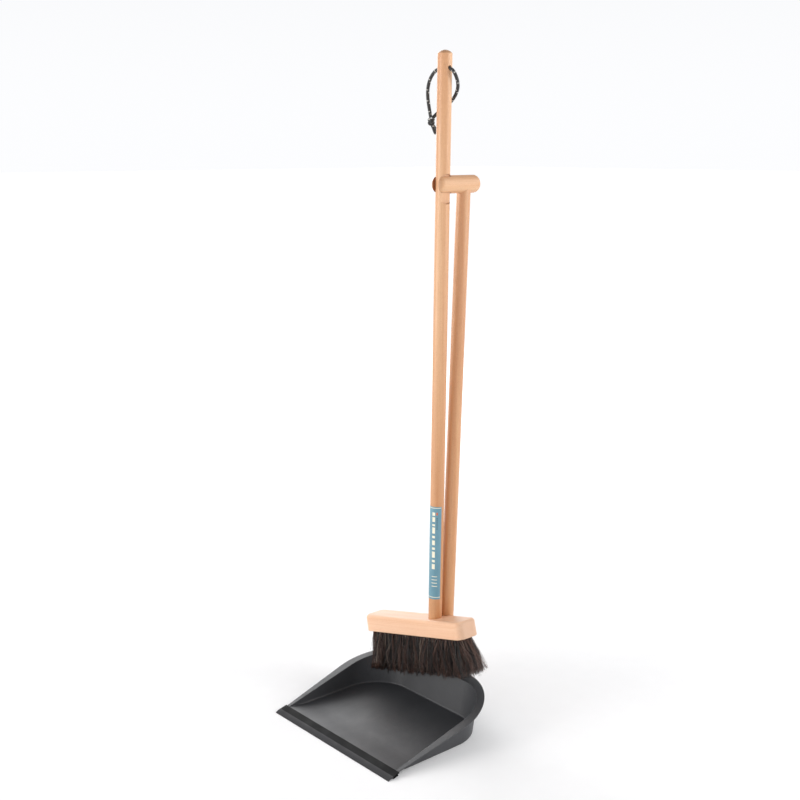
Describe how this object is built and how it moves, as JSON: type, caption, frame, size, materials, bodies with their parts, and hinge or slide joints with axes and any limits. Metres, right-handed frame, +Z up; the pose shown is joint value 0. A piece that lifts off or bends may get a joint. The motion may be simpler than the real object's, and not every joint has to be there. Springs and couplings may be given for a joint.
{
  "type": "dust pan and brush set",
  "caption": "Long-handled dust pan with a rubber lip and a hair broom that hangs by its notched stick in the pan's forked wooden grip.",
  "frame": {"origin": "on the ground, under the tray's flat floor, on the plane of symmetry, 110 mm behind the lip's edge", "axes": "+X along the lip, to the right as seen from the front; +Y from the lip to the back, where the sticks stand; +Z up"},
  "size_m": [0.2946, 0.2866, 0.982],
  "materials": {
    "powder_coat": "satin charcoal powder coat on steel sheet",
    "black_rubber": "matte extruded rubber",
    "plated_steel": "zinc plated",
    "stick_beech": "clear satin lacquer on beech, fine flecks along the grain",
    "block_beech": "clear satin lacquer on pale beech",
    "label_film": "matte printed film",
    "horsehair": "black and dark brown horsehair with single pale hairs",
    "braided_cord": "black braid with white tracer flecks"
  },
  "bodies": {
    "dust_pan": {"pan_tray": "powder_coat", "lip_strip": "black_rubber", "stick_socket": "powder_coat", "socket_rivets": "plated_steel", "socket_screw": "plated_steel", "pan_stick": "stick_beech", "grip_dowel": "stick_beech", "grip": "stick_beech"},
    "broom": {"broom_stick": "stick_beech", "brush_block": "block_beech", "block_screw": "plated_steel", "label_sticker": "label_film", "tuft_staples": "plated_steel", "bristle_row_1": "horsehair", "bristle_row_2": "horsehair", "bristle_row_3": "horsehair", "bristle_row_4": "horsehair", "bristle_row_5": "horsehair", "cord_right": "braided_cord", "cord_left": "braided_cord", "cord_knot": "braided_cord"}
  },
  "joints": [
    {"name": "broom_unhook", "type": "slide", "parent": "dust_pan", "child": "broom", "axis": [0, -1, 0], "range_m": [0, 0.3]}
  ]
}
